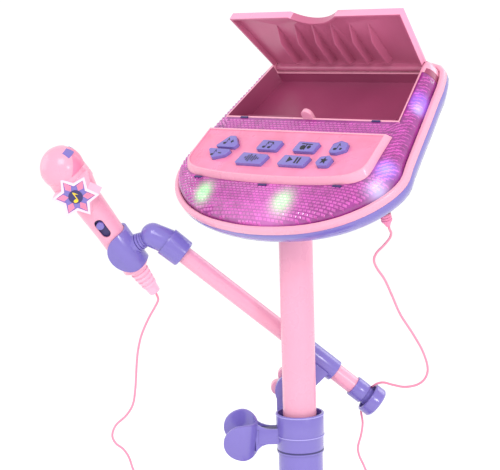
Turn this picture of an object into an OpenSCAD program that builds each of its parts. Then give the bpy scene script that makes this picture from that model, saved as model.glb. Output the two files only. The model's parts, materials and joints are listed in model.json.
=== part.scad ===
// Children's karaoke microphone stand: a telescopic column on a round base, a tilted music console with
// a phone tub under a flip-up lid, and a boom arm that carries a microphone in a clip.
// The origin is on the floor under the column. +Z is up, and the console faces -Y.

/* [Stand] */
// Height of the phone tub's front edge above the floor
console_height = 740; // [700:5:780]
// Outer radius of the round base
base_r = 150; // [135:1:170]
// Outer radius of the lower column tube
lower_tube_r = 20.5; // [20:0.1:21]
// Outer radius of the upper column tube
upper_tube_r = 15.4; // [15:0.1:15.8]
// Height of the lower tube's top end
lower_tube_top = 466; // [460:1:470]

/* [Console] */
// Tilt of the console's front panel from level
panel_tilt = 40; // [35:1:45]
// Distance of the phone tub's front edge behind the column's axis
console_back = 21.8; // [18:0.1:26]
// Drop of the console's rim below the panel
rim_drop = 15; // [12:0.5:18]
// Depth of the phone tub
tub_depth = 20; // [16:1:22]
// Angle that the lid stands open from closed
lid_open = 84; // [60:1:92]

/* [Boom arm] */
// Turn of the boom arm around the column
boom_turn = 42.7; // [30:0.1:55]
// Slope of the boom tube from level
boom_slope = 39.8; // [30:0.1:45]
// Distance of the boom tube behind the column's axis
boom_offset = 38; // [37:0.5:42]
// Outer radius of the boom tube
boom_r = 8.25; // [8:0.05:9]

/* [Microphone] */
// Outer radius of the microphone's barrel
mic_r = 13; // [12:0.1:13]
// Outer radius of the microphone's head
head_r = 20.5; // [19:0.1:22]
// Turn of the microphone in its clip
mic_turn = 10; // [-20:1:20]

/* [Cord] */
// Diameter of the microphone's cord
cord_d = 2.2; // [1.8:0.1:3]

/* [Hidden] */
$fn = 48;

pink = [0.97, 0.68, 0.80];
purple = [0.52, 0.44, 0.76];
magenta = [0.80, 0.22, 0.68];
running_gap = 0.05; // between a shaft and its bore
free_gap = 0.3; // between neighbours that don't touch

// ---- frames ----
module on_panel() {
    translate([0, console_back, console_height]) rotate([panel_tilt, 0, 0]) children();
}
module turned() {
    rotate([0, 0, boom_turn]) children();
}
boom_foot = [18, boom_offset, 514.4]; // on the boom's axis, square to the tilt pivot
pivot_drop = 36.5; // from the boom's axis to the tilt pivot
module on_boom() {
    turned() translate(boom_foot) rotate([0, boom_slope, 0]) children();
}
clip_place = [-160, 48, 620];
clip_lean = [25.5, -25, -21];
module on_clip() {
    turned() translate(clip_place) rotate(clip_lean) children();
}
module on_mic() {
    on_clip() rotate([0, 0, mic_turn]) children();
}

// ---- outlines ----
// A closed outline from its right half, which runs from one point on the middle line to another
function mirrored(half) =
    concat(half, [for (i = [len(half) - 2:-1:1]) [-half[i][0], half[i][1]]]);
// A smooth closed curve through the points, with k steps between neighbours
function smooth(p, k) = let (n = len(p)) [
    for (i = [0:n - 1]) for (j = [0:k - 1])
        let (t = j / k, a = p[(i + n - 1) % n], b = p[i], c = p[(i + 1) % n], d = p[(i + 2) % n])
        0.5 * (2 * b + (c - a) * t + (2 * a - 5 * b + 4 * c - d) * t * t
            + (3 * b - a - 3 * c + d) * t * t * t)
];
// The outline moved outwards by d, for points that run anticlockwise
function grown(p, d) = let (n = len(p)) [
    for (i = [0:n - 1])
        let (w = p[(i + 1) % n] - p[(i + n - 1) % n])
        p[i] + d * [w[1], -w[0]] / norm(w)
];
function scaled(p, k, middle) = [for (q = p) middle + k * (q - middle)];
function raised(p, n) = [for (q = p) [q[0], q[1], n]];

steps = 3;
middle = [0, -20];
rim_half = [
    [0, -120], [48, -115.5], [82, -105], [106, -90], [121, -73], [127, -56], [123, -38], [118, -15],
    [112, 15], [106, 42], [101, 64], [90, 82], [50, 88], [0, 89],
];
plateau_half = [
    [0, -80], [40, -79], [68, -77], [88, -72], [101, -62], [104, -48], [103.5, -34], [102, -14],
    [98, 14], [93, 40], [91, 62], [86, 75], [50, 79], [0, 80],
];
skirt_half = [
    [0, -82], [40, -81], [68, -79], [92, -75.5], [104, -69], [107, -60], [106.3, -42], [105.5, -19.5],
    [60, -19.5], [0, -19.5],
];
face_half = [
    [0, -71.5], [40, -70.5], [65, -68], [83, -64], [95, -56.5], [99.5, -48], [101, -38], [101.5, -28.5],
    [60, -28.5], [0, -28.5],
];
rim = smooth(mirrored(rim_half), steps);
plateau = smooth(mirrored(plateau_half), steps);
skirt = mirrored(skirt_half);
face = mirrored(face_half);

// A solid through a stack of outlines with equal numbers of points, closed flat at both ends
module loft(rings) {
    n = len(rings[0]);
    m = len(rings);
    polyhedron(
        points = [for (r = rings) each r],
        faces = concat(
            [[for (i = [0:n - 1]) i]],
            [for (r = [0:m - 2]) for (i = [0:n - 1])
                each [[r * n + i, (r + 1) * n + i, (r + 1) * n + (i + 1) % n],
                      [r * n + i, (r + 1) * n + (i + 1) % n, r * n + (i + 1) % n]]],
            [[for (i = [n - 1:-1:0]) (m - 1) * n + i]]
        )
    );
}
// A band around the console: the rings join in order, and the last one joins the first
module band(rings) {
    n = len(rings[0]);
    m = len(rings);
    polyhedron(
        points = [for (r = rings) each r],
        faces = [for (r = [0:m - 1]) for (i = [0:n - 1])
            let (a = r * n + i, b = r * n + (i + 1) % n, c = ((r + 1) % m) * n + i,
                 d = ((r + 1) % m) * n + (i + 1) % n)
            each [[a, c, d], [a, d, b]]]
    );
}
// A ring of the dome between the plateau and the rim: s is 0 at the plateau and 1 at the rim
function dome_ring(s, lower, reach) = [
    for (i = [0:len(rim) - 1])
        let (q = plateau[i] + (rim[i] - plateau[i]) * sin(90 * s) * reach)
        [q[0], q[1], -rim_drop * (1 - cos(90 * s)) - lower]
];
module tub_outline(grow) {
    polygon([
        [-101 - grow, 0.8 - grow], [101 + grow, 0.8 - grow],
        [88.5 + grow, 69.5 + grow], [-88.5 - grow, 69.5 + grow],
    ]);
}
module rounded(points, r) {
    offset(r = r) offset(delta = -r) polygon(points);
}

// ---- base ----
base_top = 44;
dome_from = 30;
function dome_profile(inset) = [
    for (a = [0:10:90])
        [dome_from + (base_r - 4 - dome_from - inset) * cos(a), 14 + (base_top - 16 - inset) * sin(a)]
];
module base_shell() {
    color(purple) {
        dome();
        for (a = [0:60:300]) rotate(a) translate([100, 0, 11.5]) difference() {
            cylinder(r = 4.5, h = 23, $fn = 24);
            translate([0, 0, -1]) cylinder(r = 1.6, h = 16, $fn = 24);
        }
    }
}
module dome() {
    rotate_extrude($fn = 96) polygon(concat(
        [[base_r - 4, 6.5]], dome_profile(0), [[lower_tube_r + 0.1, base_top - 2]],
        [[lower_tube_r + 0.1, base_top - 5]], [for (i = [9:-1:0]) dome_profile(3)[i]],
        [[base_r - 7, 6.5]]
    ));
}
module base_ring() {
    color(pink) rotate_extrude($fn = 96) polygon([
        [base_r - 3.9, 7], [base_r + 1, 7], [base_r + 2.5, 9], [base_r + 2.5, 14], [base_r + 1, 16.5],
        [base_r - 3.9, 16.5],
    ]);
}
module base_weight() {
    color("dimgray") translate([0, 0, 7]) difference() {
        cylinder(r = base_r - 25, h = 4, $fn = 96);
        translate([0, 0, -1]) cylinder(r = 30, h = 6);
        for (a = [0:60:300]) rotate(a) translate([100, 0, -1]) cylinder(r = 5, h = 6, $fn = 24);
    }
}
module base_cover() {
    color(purple) difference() {
        translate([0, 0, 3.5]) cylinder(r = base_r - 3, h = 3, $fn = 96);
        for (a = [0:60:300]) rotate(a) {
            translate([100, 0, 0]) cylinder(r = 1.8, h = 8, $fn = 24);
            translate([100, 0, 3]) cylinder(r = 3.6, h = 2, $fn = 24);
        }
    }
}
module base_feet() {
    color("dimgray") {
        cylinder(r = 14, h = 3.5);
        for (a = [30:60:330]) rotate(a) translate([base_r - 22, 0, 0]) cylinder(r = 9, h = 3.5);
    }
}
module base_screws() {
    color("silver") for (a = [0:60:300]) rotate(a) translate([100, 0, 0]) difference() {
        union() {
            translate([0, 0, 3.2]) cylinder(r = 3.2, h = 1.8, $fn = 24);
            translate([0, 0, 4]) cylinder(r = 1.5, h = 12, $fn = 24);
        }
        for (b = [0, 90]) rotate(b) translate([-2, -0.4, 3]) cube([4, 0.8, 1.1]);
    }
}
module base_socket() {
    color(purple) difference() {
        union() {
            translate([0, 0, base_top - 2]) cylinder(r1 = 33, r2 = 28, h = 10, $fn = 64);
            translate([0, 0, base_top + 8]) cylinder(r = 25.5, h = 22, $fn = 64);
            translate([0, 0, base_top + 30]) cylinder(r1 = 25.5, r2 = 23.5, h = 3, $fn = 64);
        }
        translate([0, 0, base_top - 3]) cylinder(r = lower_tube_r + 0.1, h = 40, $fn = 64);
        for (a = [0:20:340]) rotate(a) translate([26.4, 0, base_top + 10])
            cylinder(r = 1.6, h = 18, $fn = 16);
    }
}

// ---- column ----
module lower_tube() {
    color(purple) translate([0, 0, 13]) difference() {
        cylinder(r = lower_tube_r, h = lower_tube_top - 13, $fn = 64);
        translate([0, 0, -1]) cylinder(r = lower_tube_r - 2, h = lower_tube_top, $fn = 64);
    }
}
module guide_bush() {
    color("whitesmoke") translate([0, 0, lower_tube_top - 28]) difference() {
        cylinder(r = lower_tube_r - 2.05, h = 24, $fn = 64);
        translate([0, 0, -1]) cylinder(r = upper_tube_r + running_gap, h = 26, $fn = 64);
    }
}
upper_tube_bottom = 298;
upper_tube_top = 677;
module upper_tube() {
    color(pink) translate([0, 0, upper_tube_bottom]) difference() {
        cylinder(r = upper_tube_r, h = upper_tube_top - upper_tube_bottom, $fn = 64);
        translate([0, 0, -1]) cylinder(r = upper_tube_r - 2, h = 400, $fn = 64);
    }
}
module tube_foot() {
    color("whitesmoke") translate([0, 0, upper_tube_bottom - 12]) difference() {
        union() {
            cylinder(r = lower_tube_r - 2.08, h = 12, $fn = 64);
            translate([0, 0, 12]) cylinder(r = upper_tube_r - 2.05, h = 14, $fn = 64);
        }
        translate([0, 0, -1]) cylinder(r = upper_tube_r - 5, h = 30, $fn = 64);
    }
}
socket_r = 20;
module tube_socket() {
    color(purple) difference() {
        union() {
            translate([0, 0, 654]) cylinder(r = socket_r, h = 25, $fn = 64);
            on_panel() translate([0, -64, -41.5]) cylinder(r = 26, h = 3);
        }
        cylinder(r = upper_tube_r + 0.1, h = upper_tube_top + 0.1, $fn = 64);
    }
}

// ---- console ----
deck_top = -rim_drop - 2.4;
deck_bottom = deck_top - 2;
lens_t = 2.2;
tub_wall = 1.8;
hinge_v = 73;
hinge_n = -5;
pin_r = 2;
shell_rings = [ // scale and height of each ring, from the bottom up
    [0.62, -48], [0.79, -44.5], [0.90, -39], [0.965, -32], [0.995, -25], [1, deck_bottom - 0.2],
];
module shell_solid(inset, top) {
    loft([
        for (r = shell_rings)
            raised(scaled(grown(rim, 5.6 - inset), r[0], middle),
                r[1] + (r[1] > -22 ? top : inset))
    ]);
}
door_box = [[-18, 0], [58, 42]];
module door_cut(gap) {
    translate([door_box[0][0] - gap, door_box[0][1] - gap, -50])
        cube([door_box[1][0] - door_box[0][0] + 2 * gap, door_box[1][1] - door_box[0][1] + 2 * gap, 6]);
}
jack_places = [[102, -65.5, -43.5], [-102, -65.5, -43.5]];
jack_lean = -20;
module at_jacks() {
    for (p = jack_places) on_panel() translate(p) rotate([jack_lean, 0, 0]) children();
}
post_places = [[-98, 62], [98, 62], [-94, -18], [94, -18], [-63, -83], [63, -83]];
switch_place = [-44, 42];
module lower_shell() {
    color(purple) difference() {
        on_panel() union() {
            difference() {
                shell_solid(0, 0);
                shell_solid(2.4, 3);
                door_cut(0.4);
                translate([switch_place[0] - 7, switch_place[1] - 3, -50]) cube([14, 6, 8]);
                for (x = [-12:4:12]) translate([-45 + x - 0.8, 0, -50]) cube([1.6, 24, 6]);
            }
            difference() {
                intersection() {
                    for (p = post_places) translate([p[0], p[1], -50])
                        cylinder(r = 4, h = 50 + deck_bottom - 0.3, $fn = 24);
                    shell_solid(1, 0);
                }
                for (p = post_places) translate([p[0], p[1], -32]) cylinder(r = 1.3, h = 20, $fn = 24);
            }
        }
        cylinder(r = socket_r + 0.2, h = console_height, $fn = 64);
        at_jacks() cylinder(r = 5.2, h = 14, center = true, $fn = 32);
    }
}
module lid_gap() {
    translate([-88.4, 69, -9.2]) cube([176.8, 9.6, 20]);
}
module top_housing() {
    color(pink) on_panel() difference() {
        union() {
            translate([0, 0, deck_bottom]) linear_extrude(2) polygon(grown(rim, 5.6));
            band([
                raised(grown(rim, 0.35), deck_bottom + 1), raised(grown(rim, 5.6), deck_bottom + 1),
                raised(grown(rim, 5.6), -rim_drop), raised(grown(rim, 4.2), -rim_drop + 1.6),
                raised(grown(rim, 1.6), -rim_drop + 2), raised(grown(rim, 0.35), -rim_drop + 1),
            ]);
            translate([0, 0, -tub_depth - 2]) linear_extrude(tub_depth + 2) tub_outline(tub_wall);
            hull() {
                translate([0, 0, deck_top - 1]) linear_extrude(-deck_top + 1) polygon(skirt);
                translate([0, 0, 5]) linear_extrude(0.6) polygon(face);
            }
            intersection() {
                loft(concat([raised(dome_ring(1, 0, 1), deck_top - 1)],
                    [for (s = [5:-1:0]) dome_ring(s / 5, 0, 1)]));
                translate([-130, 62.8, -30]) cube([260, 40, 40]);
            }
            translate([-88, 2, -tub_depth]) cube([176, 10, 11]);
            translate([0, 3.2, 4]) rotate([90, 0, 0]) cylinder(r = 5.5, h = 4, $fn = 32);
            translate([-5.5, -0.8, -4]) cube([11, 4, 8]);
        }
        difference() {
            translate([0, 0, -tub_depth]) linear_extrude(40) tub_outline(0);
            translate([-88, 2, -tub_depth - 1]) cube([176, 10, 12]);
            translate([0, 3.2, 4]) rotate([90, 0, 0]) cylinder(r = 5.5, h = 4, $fn = 32);
            translate([-5.5, -0.8, -4]) cube([11, 4, 8]);
        }
        translate([0, 0, deck_top]) linear_extrude(-deck_top + 10) offset(delta = -1.8) polygon(face);
        translate([0, 0, 3.7]) linear_extrude(4) offset(delta = -1.2) polygon(face);
        lid_gap();
        for (side = [-1, 1]) translate([side * 89, hinge_v, hinge_n]) rotate([0, 90, 0])
            cylinder(r = pin_r + running_gap, h = 3, center = true, $fn = 32);
        for (p = post_places) translate([p[0], p[1], -30]) cylinder(r = 1.6, h = 14, $fn = 24);
    }
}
module light_lens() {
    color(magenta) on_panel() difference() {
        union() {
            band(concat(
                [for (s = [0:5]) dome_ring(s / 5, lens_t, 0.94)],
                [for (s = [5:-1:0]) dome_ring(s / 5, 0, 1)]
            ));
            translate([-101.5, -21, -lens_t]) cube([203, 22, lens_t]);
        }
        translate([0, 0, -30]) linear_extrude(40) tub_outline(tub_wall + 0.3);
        translate([0, 0, -30]) linear_extrude(40) polygon(grown(skirt, 0.3));
        translate([-130, 62.4, -30]) cube([260, 60, 40]);
    }
}
// Outline, name and place of each push button on the panel
button_outlines = [
    [[-78, -48.5], [-54, -48.5], [-51.5, -44], [-60.5, -34], [-67.5, -34]],
    [[-84.5, -53], [-54.5, -54], [-58.5, -61], [-72, -65.5]],
    [[-26.5, -49.5], [-2.5, -49.5], [-0.5, -38], [-24.5, -37.5]],
    [[16.5, -49.5], [40.5, -49.5], [42.5, -38], [18.5, -37.5]],
    [[58, -49], [66, -49.5], [75, -45], [73, -37], [64.5, -34.5], [57.5, -38.5]],
    [[-40.5, -70], [-9.5, -70], [-6, -58], [-37.5, -56.5]],
    [[9.5, -69], [39.5, -69], [43, -58], [12.5, -57]],
    [[52.7, -66], [56.2, -69.5], [67, -69], [68.3, -60.4], [63.4, -57], [54.2, -58.8]],
];
// Moves the lower buttons clear of the panel's front edge
function button_at(i) = i == 7 ? [-1, 4] : i == 1 || i > 4 ? [0, 2.5] : [0, 0];
module button_shape(i, grow) {
    translate(button_at(i)) offset(delta = grow) rounded(button_outlines[i], 1.6);
}
face_bottom = 3.8;
face_top = 5.6;
module control_panel() {
    color([0.97, 0.50, 0.70]) on_panel() difference() {
        translate([0, 0, face_bottom]) linear_extrude(face_top - face_bottom)
            offset(delta = -1.5) polygon(face);
        for (i = [0:7]) translate([0, 0, 0]) linear_extrude(10) button_shape(i, free_gap);
    }
}
module button(i) {
    color(purple) on_panel() {
        translate([0, 0, 2.4]) linear_extrude(6.6) button_shape(i, 0);
        translate([0, 0, 1.4]) linear_extrude(2.1) button_shape(i, 0.9);
    }
}
function middle_of(p) = [
    (min([for (q = p) q[0]]) + max([for (q = p) q[0]])) / 2,
    (min([for (q = p) q[1]]) + max([for (q = p) q[1]])) / 2,
];
module button_membrane() {
    color("gainsboro") on_panel() {
        translate([-73, -64, -5]) cube([146, 30, 1.5]);
        for (i = [0:7]) translate(middle_of(button_outlines[i]) + button_at(i))
            translate([0, 0, -3.6]) cylinder(r1 = 4.2, r2 = 3, h = 3.2, $fn = 24);
    }
}
module button_board() {
    color("darkgreen") on_panel() difference() {
        translate([-73, -64, -6.6]) cube([146, 30, 1.6]);
        for (x = [-66, 66]) translate([x, -40, -8]) cylinder(r = 1.6, h = 4, $fn = 24);
    }
    color("whitesmoke") on_panel() for (x = [-66, 66]) translate([x, -52, deck_top])
        cylinder(r = 3.4, h = -6.6 - deck_top, $fn = 24);
}
module main_board() {
    color("darkgreen") on_panel() {
        translate([-74, -6, -27.5]) cube([62, 56, 1.6]);
        translate([-66, 26, -30]) cube([16, 16, 2.5]);
        for (y = [8, 40]) translate([-30, y, -33.5]) cylinder(r = 4, h = 6, $fn = 24);
    }
}
light_places = [
    [-66, -91], [-22, -99], [28, -99], [80, -88], [-115, -40], [115, -40], [-106, 8], [107, 24],
    [-100, 50], [100, 50], [115, -62], [-115, -62],
];
module light_boards() {
    color("white") on_panel() {
        for (side = [-1, 1]) hull() {
            translate([side * 116, -66, deck_top + 0.1]) cylinder(r = 4, h = 1.2, $fn = 16);
            translate([side * 99, 52, deck_top + 0.1]) cylinder(r = 2.5, h = 1.2, $fn = 16);
        }
        for (side = [-1, 1]) hull() {
            translate([side * 4, -103, deck_top + 0.1]) cylinder(r = 5, h = 1.2, $fn = 16);
            translate([side * 84, -90, deck_top + 0.1]) cylinder(r = 5, h = 1.2, $fn = 16);
        }
    }
}
module lights() {
    color("white") on_panel() for (p = light_places)
        translate([p[0] * 0.99, p[1], deck_top + 1.4]) cylinder(r1 = 2.4, r2 = 1.6, h = 2.2, $fn = 20);
}
module speaker() {
    color("dimgray") on_panel() translate([-45, 12, -45.4]) {
        difference() {
            cylinder(r = 20, h = 3, $fn = 48);
            translate([0, 0, -1]) cylinder(r = 16.5, h = 3, $fn = 48);
        }
        translate([0, 0, 3]) cylinder(r1 = 18, r2 = 10, h = 6, $fn = 48);
        translate([0, 0, 9]) cylinder(r = 10, h = 5, $fn = 48);
    }
}
module battery_contacts() {
    color("silver") on_panel() for (x = [-14, 51.6]) translate([x, 2, -42.5]) cube([0.8, 38, 12]);
}
module battery_cells() {
    color("gold") on_panel() for (v = [6, 21, 36]) translate([-10, v, -36.5]) rotate([0, 90, 0]) {
        cylinder(r = 7.1, h = 56, $fn = 32);
        translate([0, 0, 56]) cylinder(r = 2.5, h = 1.6, $fn = 24);
    }
}
module mic_jacks() {
    color("dimgray") at_jacks() difference() {
        translate([0, 0, -2]) cylinder(r = 5, h = 16, $fn = 32);
        translate([0, 0, -3]) cylinder(r = 3.1, h = 14, $fn = 32);
    }
}
module console_screws() {
    color("silver") on_panel() for (p = post_places) translate([p[0], p[1], -28])
        cylinder(r = 1.25, h = 10.5, $fn = 24);
}
module battery_door() {
    color(purple) on_panel() {
        translate([door_box[0][0], door_box[0][1], -48])
            cube([door_box[1][0] - door_box[0][0], door_box[1][1] - door_box[0][1], 2.2]);
        for (y = [17, 20, 23]) translate([44, y, -48.8]) cube([10, 1.4, 1]);
    }
}
module power_switch() {
    color("dimgray") on_panel() {
        translate([switch_place[0] - 3, switch_place[1] - 2.4, -50]) cube([6, 4.8, 6.5]);
        translate([switch_place[0] - 9, switch_place[1] - 4.5, -43.6]) cube([18, 9, 1.5]);
    }
}

// ---- lid ----
lid_length = hinge_v - 1.4;
function lid_half(s) = 88.5 + (101 - 88.5) * (s - 3.5) / (lid_length - 2.9) - 0.6;
notch_r = 46.5;
module lid_closed() {
    difference() {
        union() {
            translate([0, 0, 2.5]) linear_extrude(2.5) polygon([
                [-lid_half(2), -1], [lid_half(2), -1],
                [lid_half(lid_length), -lid_length], [-lid_half(lid_length), -lid_length],
            ]);
            for (side = [-1, 1]) translate([0, 0, -2.5]) linear_extrude(6) polygon([
                [side * lid_half(6), -6], [side * (lid_half(6) - 2), -6],
                [side * (lid_half(lid_length) - 2), -lid_length],
                [side * lid_half(lid_length), -lid_length],
            ]);
            translate([-lid_half(lid_length) + 1, -lid_length, -2.5])
                cube([2 * lid_half(lid_length) - 2, 2, 6]);
            intersection() {
                translate([0, -lid_length - notch_r + 9, -2.5]) cylinder(r = notch_r + 2, h = 6, $fn = 96);
                translate([-32, -lid_length, -3]) cube([64, 12, 8]);
            }
            for (x = [-54, -32.4, -10.8, 10.8, 32.4, 54]) translate([x - 0.8, 0, 2.6])
                rotate([90, 0, 90]) linear_extrude(1.6)
                    polygon([[-57, 0], [-40, -8.5], [-12, -8.5], [-8, 0]]);
            rotate([0, 90, 0]) cylinder(r = 3.2, h = 174.6, center = true, $fn = 32);
            translate([-87.3, -3.2, 0]) cube([174.6, 3.2, 4.9]);
            rotate([0, 90, 0]) cylinder(r = pin_r, h = 180, center = true, $fn = 32);
        }
        translate([0, -lid_length - notch_r + 9, -10]) cylinder(r = notch_r, h = 20, $fn = 96);
    }
}
module phone_lid() {
    color(pink) on_panel() translate([0, hinge_v, hinge_n]) rotate([-lid_open, 0, 0]) lid_closed();
}

// ---- collar and its clip ----
collar_bottom = 435;
collar_top = 471.5;
seam = 450;
module collar() {
    color(purple) turned() difference() {
        union() {
            translate([0, 0, collar_bottom]) cylinder(r = 21.6, h = seam - collar_bottom, $fn = 64);
            translate([0, 0, seam]) cylinder(r = 22, h = collar_top - seam, $fn = 64);
            translate([-16, 14, collar_bottom + 4]) cube([26, 12.5, 34]);
            translate([-20.5, 19, seam]) cube([33, 7.5, 36]);
            on_pivot_flat() cylinder(r = 16.5, h = 7.5, $fn = 64);
            for (y = [-8.2, 6]) translate([-38.2, y, seam - 6]) cube([19, 2.2, 14]);
            translate([-38.2, -8, seam - 6]) cube([19, 16, 2]);
        }
        translate([0, 0, collar_bottom - 1]) cylinder(r = lower_tube_r + 0.06, h = 32.4, $fn = 64);
        translate([0, 0, collar_bottom]) cylinder(r = 20.1, h = 60, $fn = 64);
        on_pivot_flat() translate([0, 0, -5]) cylinder(r = 3.1, h = 20, $fn = 32);
    }
}
pivot_x = boom_foot[0] - pivot_drop * sin(boom_slope);
pivot_z = boom_foot[2] - pivot_drop * cos(boom_slope);
// The tilt pivot in the turned frame: Z runs along the bolt, from the bracket's near face backwards
module on_pivot_flat() {
    translate([pivot_x, 19, pivot_z]) rotate([-90, 0, 0]) children();
}
clip_inner = 13.4;
clip_wall = 2.4;
// A spring clip, open towards -X, around a barrel on the Z axis; its ears are cut to a disc
module clip_body(ear_x, ear_r) {
    difference() {
        intersection() {
            union() {
                cylinder(r = clip_inner + clip_wall, h = 2 * ear_r, center = true, $fn = 64);
                translate([-20, -clip_inner - clip_wall + 0.2, -ear_r])
                    cube([20, 2 * (clip_inner + clip_wall - 0.2), 2 * ear_r]);
            }
            translate([ear_x, 0, 0]) rotate([90, 0, 0]) cylinder(r = ear_r, h = 50, center = true, $fn = 64);
        }
        cylinder(r = clip_inner, h = 60, center = true, $fn = 64);
        translate([-40, -clip_inner + 0.15, -30]) cube([40, 2 * clip_inner - 0.3, 60]);
    }
}
spare_lean = 18;
module spare_clip() {
    color(purple) turned() difference() {
        union() {
            translate([-54.5, 0, seam + 1.5]) rotate([spare_lean, 0, 0]) clip_body(2.5, 18.5);
            translate([-42, -5.6, seam - 3.6]) cube([14, 11.2, 11]);
        }
        translate([-54.5, 0, seam + 1.5]) rotate([spare_lean, 0, 0])
            cylinder(r = clip_inner, h = 60, center = true, $fn = 64);
    }
}
module pivot_bolt() {
    color("silver") turned() on_pivot_flat() {
        translate([0, 0, -1.6]) cylinder(r = 5.5, h = 1.5, $fn = 32);
        translate([0, 0, -0.5]) cylinder(r = 3, h = 25, $fn = 32);
    }
}

// ---- boom arm ----
sleeve_r = 10.4;
sleeve_left = -32;
sleeve_right = 22.3;
lug_y = -11; // near face of the lug, from the boom's axis
lug_t = 6.8;
module boom_sleeve() {
    color(purple) on_boom() translate([sleeve_left, 0, 0]) rotate([0, 90, 0]) difference() {
        cylinder(r = sleeve_r, h = sleeve_right - sleeve_left, $fn = 64);
        translate([0, 0, -1])
            cylinder(r = boom_r + running_gap, h = sleeve_right - sleeve_left + 2, $fn = 64);
    }
}
// The plate that hangs the sleeve from the bracket; its saddle is welded to the sleeve
module sleeve_lug() {
    color(purple) on_boom() difference() {
        union() {
            translate([0, lug_y, -pivot_drop]) rotate([-90, 0, 0]) cylinder(r = 14, h = lug_t, $fn = 48);
            translate([0, lug_y, 0]) rotate([-90, 0, 0]) linear_extrude(lug_t)
                polygon([[-28, 4], [17, 4], [12.5, pivot_drop + 4], [-13, pivot_drop + 3]]);
        }
        translate([-80, 0, 0]) rotate([0, 90, 0]) cylinder(r = sleeve_r + 0.03, h = 160, $fn = 64);
        translate([0, 0, -pivot_drop]) rotate([90, 0, 0])
            cylinder(r = 3 + running_gap, h = 60, center = true, $fn = 32);
    }
}
knob_from = 15.6; // from the bracket's near face
knob_t = 11;
module tilt_knob() {
    color(pink) turned() on_pivot_flat() translate([0, 0, knob_from]) difference() {
        union() {
            cylinder(r = 14.5, h = knob_t, $fn = 48);
            for (a = [0:60:300]) rotate(a) translate([13.5, 0, 0]) cylinder(r = 6.5, h = knob_t, $fn = 32);
            translate([0, 0, knob_t]) cylinder(r1 = 12, r2 = 10, h = 2, $fn = 48);
        }
        translate([0, 0, -1]) cylinder(r = 3 + running_gap, h = 11, $fn = 32);
    }
}
tube_left = -172;
tube_right = 56;
module boom_tube() {
    color(pink) on_boom() translate([tube_left, 0, 0]) rotate([0, 90, 0]) difference() {
        cylinder(r = boom_r, h = tube_right - tube_left, $fn = 64);
        translate([0, 0, -1]) cylinder(r = boom_r - 1.6, h = tube_right - tube_left + 2, $fn = 64);
    }
}
cap_left = 44.3;
cup_left = 61.8;
cup_right = 73.6;
cap_right = 57.8;
module boom_end_cap() {
    color(purple) on_boom() rotate([0, 90, 0]) rotate_extrude($fn = 64) polygon([
        [boom_r + 0.03, cap_left], [10, cap_left], [10, cap_right], [8.6, cap_right],
        [8.6, cup_left + 6], [12.2, cup_left + 6], [12.2, cup_left], [14, cup_left],
        [14.6, cup_left + 0.8], [14.6, cup_right - 2], [13, cup_right], [0, cup_right],
        [0, tube_right + 0.1], [boom_r + 0.03, tube_right + 0.1],
    ]);
}
elbow_right = -157.5;
elbow_left = -178;
elbow_reach = 34; // from the clip's centre to the elbow ball
module boom_elbow() {
    color(purple) difference() {
        union() {
            on_boom() translate([elbow_left, 0, 0]) rotate([0, 90, 0]) {
                cylinder(r1 = 13.9, r2 = 13.4, h = elbow_right - elbow_left - 1, $fn = 64);
                translate([0, 0, elbow_right - elbow_left - 1])
                    cylinder(r1 = 13.4, r2 = 12.4, h = 1, $fn = 64);
            }
            hull() {
                on_boom() translate([elbow_left - 1, 0, 0]) rotate([0, 90, 0])
                    cylinder(r = 12.2, h = 1.5, $fn = 32);
                on_clip() translate([elbow_reach, 0, 0]) sphere(r = 11.6, $fn = 32);
            }
        }
        on_boom() translate([tube_left, 0, 0]) rotate([0, 90, 0])
            cylinder(r = boom_r + 0.03, h = 60, $fn = 64);
        on_clip() translate([0, -20, -20]) cube([25.2, 40, 40]);
        on_clip() rotate([0, 90, 0]) cylinder(r = 3 + running_gap, h = 38, $fn = 32);
    }
}
module mic_clip() {
    color(purple) on_clip() difference() {
        union() {
            clip_body(9, 19.5);
            translate([13, 0, 0]) rotate([0, 90, 0]) cylinder(r1 = 9.5, r2 = 7.4, h = 11.9, $fn = 48);
        }
        cylinder(r = clip_inner, h = 60, center = true, $fn = 64);
        translate([15, 0, 0]) rotate([0, 90, 0]) cylinder(r = 3, h = 20, $fn = 32);
        for (x = [17.2, 20, 22.8]) translate([x, 0, 0]) rotate([0, 90, 0]) difference() {
            cylinder(r = 12, h = 1, $fn = 48);
            translate([0, 0, -1]) cylinder(r = 7, h = 3, $fn = 48);
        }
    }
}
module clip_pin() {
    color("silver") on_clip() translate([15, 0, 0]) rotate([0, 90, 0]) cylinder(r = 3, h = 22, $fn = 32);
}

// ---- microphone ----
barrel_bottom = -21;
taper_from = 25; // the barrel widens from here up
neck_r = 14.3;
neck_from = 60;
neck_to = 78;
head_at = 99;
switch_at = 33;
module slot_shape(half_width, half_length) {
    for (z = [-1, 1]) translate([0, 0, z * (half_length - half_width)]) rotate([90, 0, 0])
        cylinder(r = half_width, h = 20, $fn = 32);
    translate([-half_width, -20, half_width - half_length])
        cube([2 * half_width, 20, 2 * (half_length - half_width)]);
}
module mic_barrel() {
    color(pink) on_mic() difference() {
        union() {
            translate([0, 0, barrel_bottom]) cylinder(r = mic_r, h = taper_from - barrel_bottom, $fn = 64);
            translate([0, 0, taper_from])
                cylinder(r1 = mic_r, r2 = neck_r, h = neck_from - taper_from, $fn = 64);
            translate([0, 0, neck_from]) cylinder(r1 = neck_r, r2 = 18.6, h = neck_to - neck_from, $fn = 64);
        }
        translate([0, 0, barrel_bottom - 1])
            cylinder(r = mic_r - 2, h = 1.01 + taper_from - barrel_bottom, $fn = 64);
        translate([0, 0, taper_from])
            cylinder(r1 = mic_r - 2, r2 = neck_r - 2, h = neck_from - taper_from + 0.01, $fn = 64);
        translate([0, 0, neck_from])
            cylinder(r1 = neck_r - 2, r2 = 16.6, h = neck_to - neck_from + 0.1, $fn = 64);
        translate([0, 0, switch_at]) slot_shape(4.3, 10);
    }
}
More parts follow.
